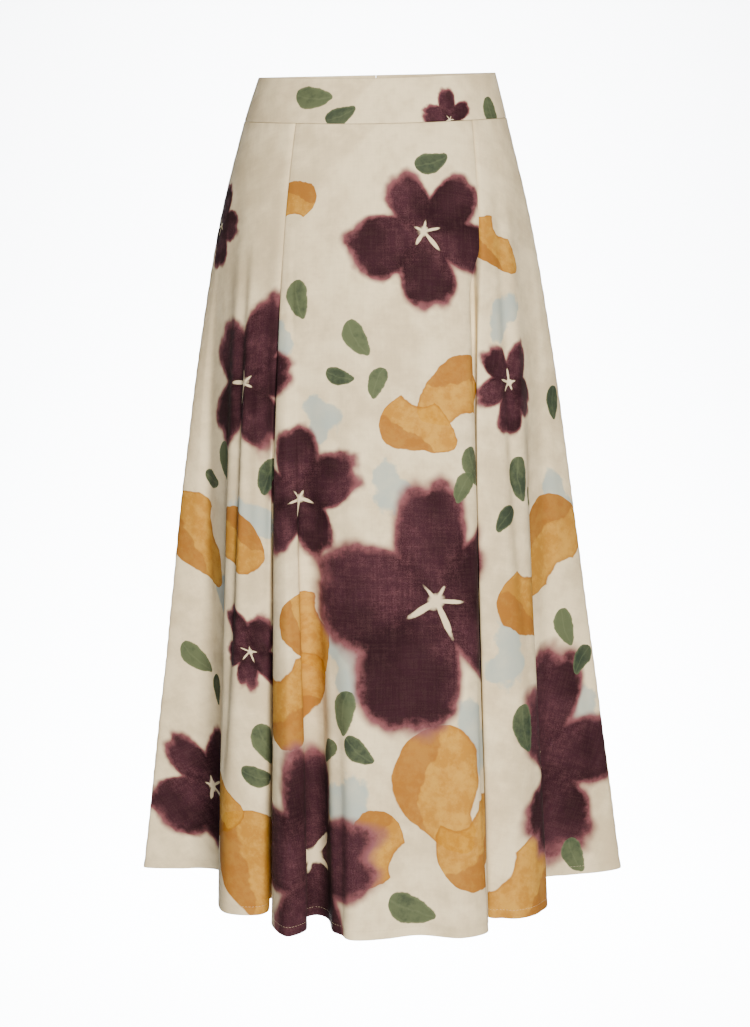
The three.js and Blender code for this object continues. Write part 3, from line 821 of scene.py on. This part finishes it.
def leaf(tree, layer, paint):
    """A small rounded leaf, pointed at one end, with a faint midrib."""
    (x, y, seed), vector = attribute(tree, layer)
    wobble = noise(vector, 2.0) - 0.5
    bent = y + (x * x) * 0.14 + wobble * 0.24 - 0.05
    half = (x * x).minus_from(1.0).greater_of(0.0).power(0.58) * (x * -0.18 + 0.54)
    inside = half - bent.absolute() - past_the_tip(x)
    cover = inside.ramp(-0.025, 0.035)
    rib = bent.absolute().ramp(0.06, 0.01) * 0.16
    tone = (seed.math("FRACT") * 1.2 + paint * 0.9 - 0.5).ramp(0.0, 1.0)
    body = mixed(tone, LEAF, LEAF_DEEP)
    body = mixed(inside.ramp(0.16, 0.0) * 0.35, body, LEAF_PALE)
    return cover, mixed(rib, body, LEAF_PALE)


def patch(tree, layer):
    """How much of a pale blue brushed patch covers a place."""
    (x, y, seed), vector = attribute(tree, layer)
    wobble = noise(vector, 2.4) - 0.5
    distance = (x * x + y * y * 2.2).power(0.5)
    angle = y.math("ARCTAN2", x)
    lobes = (angle * 2.0 + seed * 12.0).cosine() * 0.18
    lobes += (angle * 3.0 + seed * 7.0).cosine() * 0.14
    return (distance - lobes - wobble * 0.8 - 0.80).ramp(0.09, -0.09)


print("a blossom has", round(PETALS), "petals")

# %% The printed cloth
THREAD = 0.0009
THREAD_WAVES = 2 * math.pi / THREAD
WEAVE_DEPTH = 0.00012
SLOW_WAVES, STREAK_WAVES, BRUSH_WAVES, GRAIN_WAVES = 7.0, 34.0, 130.0, 900.0
SLUB_WAVES = (520.0, 30.0)
SLUB_SHADE = 0.06
SPECKLE_SHADE = 0.014
OCHRE_COVERS = 0.96
HEART_COVERS = 0.9
LEAF_COVERS = 0.98
REVERSE_FADE = 0.62


def weave(along, across):
    """A plain weave's height: threads that pass over and under each other."""
    warp = (along * THREAD_WAVES).cosine()
    weft = (across * THREAD_WAVES).cosine()
    return warp * weft * 0.5 + 0.5


def slubs(across, along):
    """Threads of uneven thickness: fine streaks that run both ways."""
    ways = []
    for fast, slow in (SLUB_WAVES, SLUB_WAVES[::-1]):
        values = {0: across * fast, 1: along * slow}
        place = new_node(across.socket.id_data, "ShaderNodeCombineXYZ", values)
        ways.append(noise(place.outputs[0], 1.0, 2.0))
    return ((ways[0] + ways[1]) * 0.5).ramp(0.42, 0.60)


def printed_cloth(name):
    """The printed cotton: cream ground, print, weave, a faint sheen, and a paler reverse."""
    material, tree, shader = new_material(name)
    (across, along, side), cloth = attribute(tree, "cloth")
    slow = noise(cloth, SLOW_WAVES, 4.0)
    streaks = noise(cloth, STREAK_WAVES, 4.0, 0.6)
    brush = noise(cloth, BRUSH_WAVES, 3.0, 0.65)
    grain = noise(cloth, GRAIN_WAVES, 2.0, 0.7)
    uneven = slubs(across, along)
    paint = (slow * 0.35 + streaks * 0.35 + brush * 0.30).ramp(0.40, 0.66)
    veins = (streaks * 0.5 + brush * 0.5).ramp(0.40, 0.62) - 0.5
    worn = (grain * 0.45 + brush * 0.37 + streaks * 0.15 + uneven * 0.03).ramp(0.42, 0.66)
    washed = (slow * 0.5 + streaks * 0.4 + brush * 0.1).ramp(0.40, 0.60)
    ground = mixed(washed, CREAM, CREAM_DEEP)
    ground = mixed(uneven * SLUB_SHADE, ground, THREAD_SHADE)
    colour = mixed(patch(tree, "sky_0") * (streaks * 0.6 + 0.55), ground, SKY)
    for layer in layer_names("ochre"):
        cover, petal_colour = petal(tree, layer, paint)
        colour = mixed(cover * OCHRE_COVERS, colour, petal_colour)
    for layer in layer_names("plum"):
        cover, petal_colour, heart = blossom(tree, layer, veins, worn)
        colour = mixed(cover, colour, petal_colour)
        colour = mixed(heart * HEART_COVERS, colour, STAMEN)
    for layer in layer_names("leaf"):
        cover, leaf_colour = leaf(tree, layer, paint)
        colour = mixed(cover * LEAF_COVERS, colour, leaf_colour)
    colour = mixed(side.ramp(0.55, 0.95) * REVERSE_FADE, colour, ground)
    speckle = (brush * 0.35 + grain * 0.5 + uneven * 0.15).ramp(0.30, 0.75)
    threads = weave(along, across) * 0.6 + grain * 0.7 + brush * 1.6
    finish = {
        "Base Color": mixed(speckle * SPECKLE_SHADE, colour, CREAM_DEEP),
        "Roughness": grain * 0.12 + 0.72,
        "Specular IOR Level": 0.04,
        "Sheen Weight": 0.01,
        "Sheen Roughness": 0.5,
        "Normal": relief(threads, 0.5, WEAVE_DEPTH),
    }
    fill(shader, finish)
    return material


skirt_cloth = printed_cloth("printed_cloth")
band_cloth = printed_cloth("printed_cloth_waistband")
print("the print's material has", len(skirt_cloth.node_tree.nodes), "nodes")

# %% [markdown]
# ## The three skirt panels
#
# Each panel's outer side is its grid, and its inner side lies one cloth thickness in. The last
# centimetre or so is thicker, because the hem is turned up, and a shallow line shows where it is
# stitched. Seams keep a hair's gap, as in the construction model, so no two panels share a face.

# %% Panels as shells
HEM_STITCH_DROP = SKIRT_LENGTH - 9.0
HEM_GROOVE = 0.28
HEM_GROOVE_WIDTH = 1.6
SEAM_TURN = 0.45
SEAM_TURN_WIDTH = 1.1


def turned_in_at_seam(distance):
    """How far the cloth turns in, so far from the waist seam."""
    return SEAM_TURN * np.exp(-((distance / SEAM_TURN_WIDTH) ** 2))


def folded_edge(from_edge, thickness):
    """How much nearer the middle of the cloth each side lies at so far from a folded edge."""
    reach = thickness / 2
    curve = np.clip((reach - from_edge) / reach, 0, 0.98)
    return reach * (1 - np.sqrt(1 - curve**2))


def with_seam_gaps(points):
    """The grid with half a seam's gap taken off its first and last columns."""
    points = points.copy()
    for edge, beside in ((0, 1), (-1, -2)):
        step = points[:, beside] - points[:, edge]
        points[:, edge] += step / np.linalg.norm(step, axis=1, keepdims=True) * SEAM_GAP / 2
    return points


def skirt_panel(panel):
    """The shell of one skirt panel."""
    drops = panel.drops
    hem = share(drops, SKIRT_LENGTH - HEM_TURN - 1, SKIRT_LENGTH - HEM_TURN)
    thickness = CLOTH + (HEM_CLOTH - CLOTH) * hem
    rounding = folded_edge(SKIRT_LENGTH - drops, thickness)
    groove = HEM_GROOVE * np.exp(-(((drops - HEM_STITCH_DROP) / HEM_GROOVE_WIDTH) ** 2))
    turned_in = turned_in_at_seam(drops - BAND_HEIGHT)
    depth = (rounding + groove + turned_in)[:, None] + np.zeros(len(panel.at))
    depth[:, [0, -1]] = np.maximum(depth[:, [0, -1]], SEAM_TURN)
    outer = with_seam_gaps(panel.points - panel.normals * depth[..., None])
    inner_depth = (thickness - rounding)[:, None, None]
    inner = with_seam_gaps(panel.points - panel.normals * inner_depth)
    outer, inner = with_height(drops, outer), with_height(drops, inner)
    placed = {}
    for colour, motifs in PRINT.items():
        here = [motif for motif in motifs if panel.at[0] <= motif.at <= panel.at[-1]]
        placed[colour] = [(place_on_cut(panel, motif), motif) for motif in here]
    name = panel.name + "_cloth"
    return cloth_shell(name, outer, inner, panel.flat, into_layers(placed), skirt_cloth)


panel_pieces = {key: skirt_panel(panel) for key, panel in PANELS.items()}

# %% [markdown]
# ## The waistband
#
# The waistband is cut to shape, in one piece in front and two at the back, and it is doubled, so
# it is thicker and holds its curve without folds. Its top is a folded edge, which reads as a soft
# round and not as a corner. It could be bent from a strip, but its level sections are simple
# ovals, so each piece is made straight from them, with the round of the top edge in its rows.

# %% The waistband's sections
BAND_COLUMN_DEGREES = 1.2
ROWS_OF_BAND = (0, 0.15, 0.5, 1.0, 2.0, 6, 12, 18, 24, 30, 36, 40, 42, 43.2)
BAND_DROPS = np.array([*ROWS_OF_BAND, BAND_HEIGHT - SEAM_GAP])


def band_columns(drops, stretch):
    """Points and outward normals of the oval at each drop, along one stretch of the skirt."""
    start, end = (FOLD_LINES[LINE_AT[name]].seam for name in (stretch.first, stretch.last))
    end = end if end > start else end + 360
    count = int(round((end - start) / BAND_COLUMN_DEGREES)) + 1
    angle = np.radians(np.linspace(start, end, count))[None]
    across, along = extents_at(drops[:, None], np.sin(angle), -np.cos(angle))
    points = np.stack([across * np.sin(angle), -along * np.cos(angle)], axis=2)
    normals = points / np.stack([across, along], axis=2) ** 2
    return points, normals / np.linalg.norm(normals, axis=2, keepdims=True)


print("the waistband has", len(BAND_DROPS), "rows")

# %% The three waistband pieces
# A motif's at and drop are here its own place on the flat cut, in millimetres. The zero of the
# print lies in the middle of the front and at the centre back seam of the other two.
BAND_PRINT = {
    "front": {
        "leaf": table(
            Motif, (-62, 14, 20, 12, 0.2), (-34, 34, 16, -20, 0.8), (128, 22, 19, 60, 0.5)
        ),
        "plum": table(Motif, (74, 36, 30, 35, 0.3)),
    },
    "back_left": {"leaf": table(Motif, (-90, 20, 18, 15, 0.4))},
    "back_right": {"ochre": table(Motif, (110, 24, 24, 15, 0.4))},
}
BAND_ZERO = {"front": 0.5, "back_left": 1.0, "back_right": 0.0}


def waistband(key):
    """The shell of one waistband piece, printed as the panels are, and its cut."""
    points, normals = band_columns(BAND_DROPS, STRETCHES[key])
    lengths = lengths_round(points)
    lengths -= lengths[:, -1:] * BAND_ZERO[key]
    flat, cut = flat_cut(BAND_DROPS, lengths)
    rounding = folded_edge(BAND_DROPS, BAND_CLOTH)
    outer_depth = rounding + turned_in_at_seam(BAND_HEIGHT - BAND_DROPS)
    outer, inner = (
        with_height(BAND_DROPS, with_seam_gaps(points - normals * depth[:, None, None]))
        for depth in (outer_depth, BAND_CLOTH - rounding)
    )
    placed = {
        colour: [((motif.at, motif.drop), motif) for motif in motifs]
        for colour, motifs in BAND_PRINT[key].items()
    }
    name = "waistband_" + key + "_cloth"
    return cloth_shell(name, outer, inner, flat, into_layers(placed), band_cloth), cut


BANDS = {key: waistband(key) for key in STRETCHES}
for key, (_, cut) in BANDS.items():
    print(key, "is cut", round(cut["top"]), "mm long at the top,", round(cut["hem"]), "at the seam")

# %% [markdown]
# ## Stitches
#
# The hem is held by a row of small stitches all round, and the inside edge of the waistband by
# another. Modelling each stitch by hand would be slow, and a bump map would vanish at the edge of
# the cloth, so Geometry Nodes lay one short capsule of thread along a path again and again.
# Spacing, length and thread are named inputs of the tree, and the result is made a plain mesh
# before anything else uses it.


# %% A tree that repeats a small piece along a path
def repeat_tree(name, follows):
    """Geometry Nodes that lay rounded rods along a path: with it if follows, else across it."""
    tree = bpy.data.node_groups.new(name, "GeometryNodeTree")
    for label, kind in (
        ("Geometry", "Geometry"),
        ("Spacing", "Float"),
        ("Rod Length", "Float"),
        ("Rod Thickness", "Float"),
        ("Material", "Material"),
    ):
        tree.interface.new_socket(label, in_out="INPUT", socket_type="NodeSocket" + kind)
    tree.interface.new_socket("Geometry", in_out="OUTPUT", socket_type="NodeSocketGeometry")

    def made(kind, values=(), **settings):
        return new_node(tree, kind, values, **settings).outputs[0]

    given = new_node(tree, "NodeGroupInput").outputs
    curve = made("GeometryNodeMeshToCurve", {"Mesh": given["Geometry"]})
    steps = {"Curve": curve, "Length": given["Spacing"]}
    points = made("GeometryNodeResampleCurve", steps, mode="LENGTH")
    rod = made("GeometryNodeMeshUVSphere", {"Segments": 6, "Rings": 5, "Radius": 0.5})
    long, thin = given["Rod Length"], given["Rod Thickness"]
    sides = (thin, thin, long) if follows else (long, thin, thin)
    size = made("ShaderNodeCombineXYZ", enumerate(sides))
    placing = {"Points": points, "Instance": rod, "Scale": size}
    if follows:
        ahead = {"Vector": made("GeometryNodeInputTangent")}
        placing["Rotation"] = made("FunctionNodeAlignRotationToVector", ahead, axis="Z")
    rods = made("GeometryNodeInstanceOnPoints", placing)
    real = made("GeometryNodeRealizeInstances", {"Geometry": rods})
    smooth = made("GeometryNodeSetShadeSmooth", {"Geometry": real})
    dressed = {"Geometry": smooth, "Material": given["Material"]}
    painted = made("GeometryNodeSetMaterial", dressed)
    new_node(tree, "NodeGroupOutput", {"Geometry": painted})
    return tree


def laid_along(name, tree, path, closed, sizes, material):
    """A plain mesh of rods laid along a path of points in millimetres."""
    mesh = bpy.data.meshes.new(name + "_path")
    count = len(path)
    edges = [(i, (i + 1) % count) for i in range(count if closed else count - 1)]
    mesh.from_pydata((np.asarray(path) * MM).tolist(), edges, [])
    path_object = in_scene(name + "_path", mesh)
    modifier = path_object.modifiers.new(name, "NODES")
    modifier.node_group = tree
    inputs = [item for item in tree.interface.items_tree if item.in_out == "INPUT"]
    sockets = {item.name: item.identifier for item in inputs}
    for label, value in {**sizes, "Material": material}.items():
        modifier[sockets[label]] = value
    evaluated = path_object.evaluated_get(bpy.context.evaluated_depsgraph_get())
    plain = bpy.data.meshes.new_from_object(evaluated)
    bpy.data.objects.remove(path_object)
    print(name, "has", len(plain.polygons), "faces")
    return in_scene(name, plain)


stitch_tree = repeat_tree("stitch_row", True)
tooth_tree = repeat_tree("tooth_row", False)
print("the trees are", stitch_tree.name, "and", tooth_tree.name)


# %% The sewing thread, and the rows of stitches
DARKER = 0.62
TONE_CHANGE = 0.36
STITCH_SIZES = {"Spacing": 0.0034, "Rod Length": 0.0026, "Rod Thickness": 0.00026}
BAND_STITCH_DROP = 40.5
BAND_STITCH_DEPTH = BAND_CLOTH + 0.05


def plain_material(name, colour, roughness, bump_scale, bump_distance, metallic=0.0):
    """A finish with slight changes of tone and a fine relief, on Object coordinates."""
    material, tree, shader = new_material(name)
    place = new_node(tree, "ShaderNodeTexCoord").outputs["Object"]
    fine = noise(place, bump_scale, 3.0, 0.6)
    slow = noise(place, bump_scale / 9, 2.0)
    darker = [c * DARKER for c in colour[:3]] + [1.0]
    amount = (slow * 0.6 + fine * 0.4).ramp(0.35, 0.8) * TONE_CHANGE
    finish = {
        "Base Color": mixed(amount, colour, darker),
        "Roughness": fine * 0.2 + (roughness - 0.1),
        "Metallic": metallic,
        "Normal": relief(fine, 0.6, bump_distance),
    }
    fill(shader, finish)
    return material


thread = plain_material("sewing_thread", linear(196, 184, 163), 0.6, 3000.0, 0.00005)


def hem_path():
    """The closed path of the hem stitches, in the groove of the outer side."""
    path = []
    for panel in PANELS.values():
        row = int(np.argmin(abs(panel.drops - HEM_STITCH_DROP)))
        plan = panel.points[row] - panel.normals[row] * HEM_GROOVE
        path.extend(with_height(panel.drops[[row]], plan[None])[0][1:-1])
    return path


def band_path():
    """The path of the stitches round the waistband's inner edge, open at the centre back."""
    path, drops = [], np.array([BAND_STITCH_DROP])
    for key in ("back_right", "front", "back_left"):
        points, normals = band_columns(drops, STRETCHES[key])
        path.extend(with_height(drops, points - normals * BAND_STITCH_DEPTH)[0][2:-2])
    return path


hem_stitches, band_stitches = (
    laid_along(name, stitch_tree, path, closed, STITCH_SIZES, thread)
    for name, path, closed in (
        ("hem_stitches", hem_path(), True),
        ("waistband_inner_stitches", band_path(), False),
    )
)

# %% [markdown]
# ## The concealed zip
#
# A fitted skirt must open to be put on. A concealed zip in the centre back seam closes it so that
# only the pull tab shows outside. Behind the seam lies its knitted tape with a fine coil of teeth.
# The tape follows the seam, so it is another thin shell made from the skirt's own sections, and
# the teeth are one rod repeated along the seam by the same kind of tree as the stitches.

# %% The zip's tape and teeth
ZIP_LENGTH = 215
ZIP_TOP = 3
TAPE_WIDTH = 24
TAPE_ROWS, TAPE_COLUMNS = 54, 13
TAPE_CLOTH = 0.8
TAPE_DEPTH = BAND_CLOTH + SEAM_GAP
TOOTH_DEPTH = TAPE_DEPTH + TAPE_CLOTH + 0.35
TOOTH_DROPS = np.linspace(ZIP_TOP + 1, ZIP_LENGTH - 5, 80)
TOOTH_SIZES = {"Spacing": 0.0015, "Rod Length": 0.0042, "Rod Thickness": 0.0009}


def behind_seam(drops, distances, depth):
    """Points so far round from the centre back seam and so deep behind it, as rows of drops."""
    centre = LINE_AT["centre back"]
    at = centre + np.linspace(-1.5, 1.5, 121)
    points, normals = section_points(line_points(drops), at)
    lengths = lengths_from(at, points, centre)
    deep = points - normals * depth
    rows = [
        [np.interp(distances, row, place[:, axis]) for axis in (0, 1)]
        for row, place in zip(lengths, deep)
    ]
    return with_height(drops, np.array(rows).transpose(0, 2, 1))


tape_drops = np.linspace(ZIP_TOP, ZIP_LENGTH, TAPE_ROWS)
tape_across = np.linspace(-TAPE_WIDTH / 2, TAPE_WIDTH / 2, TAPE_COLUMNS)
zip_tape = cloth_shell(
    "zip_tape_cloth",
    behind_seam(tape_drops, tape_across, TAPE_DEPTH),
    behind_seam(tape_drops, tape_across, TAPE_DEPTH + TAPE_CLOTH),
    np.stack(np.meshgrid(tape_across, -tape_drops), axis=2),
    {},
    plain_material("zip_tape_knit", linear(203, 193, 176), 0.8, 1400.0, 0.00012),
)
nylon = plain_material("zip_coil_nylon", linear(188, 178, 162), 0.42, 900.0, 0.00003)
tooth_path = behind_seam(TOOTH_DROPS, np.zeros(1), TOOTH_DEPTH)[:, 0]
zip_teeth = laid_along("zip_teeth", tooth_tree, tooth_path, False, TOOTH_SIZES, nylon)

# %% The slider and its pull tab keep the construction model's form, in enamelled metal
enamel = plain_material("zip_enamel_finish", linear(196, 185, 168), 0.34, 420.0, 0.00002, 0.35)
for node_name in ("zip_slider", "zip_pull_tab"):
    metal_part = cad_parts[node_name]
    metal_part.data.materials.clear()
    metal_part.data.materials.append(enamel)
print("the slider and the pull tab are enamelled")

# %% [markdown]
# ## What each piece is and moves with
#
# The cloth shells stand for the construction model's walls and ride on the skirt's body. The pull
# tab turns on the slider by itself.

# %% Bodies and replaced walls
for key, piece in panel_pieces.items():
    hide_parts(key + "_panel")
for key, (piece, _) in BANDS.items():
    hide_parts("waistband_" + key)
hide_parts("zip_tape")
band_pieces = [piece for piece, _ in BANDS.values()]
small_pieces = [zip_tape, zip_teeth, hem_stitches, band_stitches]
for piece in (*panel_pieces.values(), *band_pieces, *small_pieces):
    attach(piece, "skirt")
print(len(panel_pieces) + len(band_pieces) + len(small_pieces), "pieces ride on the skirt")

# %% [markdown]
# ## The studio
#
# A pale floor that curves up into a backdrop gives a background without a horizon. It lies far
# below and far behind, so that it throws little light back and the folds keep their depth. The
# main light is large and soft and stands in front, a little to the right, so both sides of the
# skirt fall off. A weak one on the left and the world's faint glow keep the hollows open, and one
# more lights the backdrop.

# %% Floor and backdrop in one sweep
FLOOR_Z = -3.0
SWEEP_WIDTH = 24.0
SWEEP_FRONT = -14.0
SWEEP_BACK = 7.0
SWEEP_RADIUS = 2.2
SWEEP_TOP = 9.0
SWEEP_STEPS = 16
PAPER = (0.89, 0.91, 0.94, 1)

sweep_profile = [(SWEEP_FRONT, FLOOR_Z), (SWEEP_BACK, FLOOR_Z)]
for step in range(1, SWEEP_STEPS + 1):
    bend = math.radians(90 * step / SWEEP_STEPS)
    back, up = SWEEP_RADIUS * math.sin(bend), SWEEP_RADIUS * (1 - math.cos(bend))
    sweep_profile.append((SWEEP_BACK + back, FLOOR_Z + up))
sweep_profile.append((SWEEP_BACK + SWEEP_RADIUS, SWEEP_TOP))
sweep_mesh = bpy.data.meshes.new("studio_sweep")
corners = [(side * SWEEP_WIDTH / 2, y, z) for y, z in sweep_profile for side in (-1, 1)]
quads = [(2 * i, 2 * i + 1, 2 * i + 3, 2 * i + 2) for i in range(len(sweep_profile) - 1)]
sweep_mesh.from_pydata(corners, [], quads)
sweep_mesh.polygons.foreach_set("use_smooth", [True] * len(quads))
sweep = in_scene("studio_sweep", sweep_mesh)
paper, _, paper_shader = new_material("studio_paper")
fill(paper_shader, {"Base Color": PAPER, "Roughness": 1.0, "Specular IOR Level": 0.0})
sweep_mesh.materials.append(paper)
print("the floor lies", -FLOOR_Z, "m below the waist")


# %% Lights
WARM = (1.0, 0.906, 0.69)
WHITE = (1.0, 1.0, 1.0)
WORLD_STRENGTH = 0.11
SKIRT_MIDDLE = (0, 0, -0.5)
BACKDROP_FOOT = (0, 7.2, -2.4)


def soft_light(name, place, aim, size, power, colour=WARM, spread=180):
    """A square area light that faces a point, with its beam's spread in degrees."""
    data = bpy.data.lights.new(name, "AREA")
    data.color = colour
    data.shape = "SQUARE"
    data.size = size
    data.energy = power
    data.spread = math.radians(spread)
    lamp = in_scene(name, data)
    lamp.location = place
    direction = Vector(aim) - Vector(place)
    lamp.rotation_euler = direction.to_track_quat("-Z", "Y").to_euler()


soft_light("key_light", (0.5, -3.3, 0.5), SKIRT_MIDDLE, 1.0, 262)
soft_light("fill_light", (-2.6, -3.0, 0.3), SKIRT_MIDDLE, 2.2, 4)
soft_light("backdrop_light", (0, 3.6, 3.0), BACKDROP_FOOT, 2.5, 2500, WHITE, spread=100)
world = bpy.data.worlds.new("studio_world")
bpy.context.scene.world = world
world.use_nodes = True
fill(world.node_tree.nodes["Background"], {"Color": (*WHITE, 1), "Strength": WORLD_STRENGTH})
print("the world glows at", WORLD_STRENGTH)
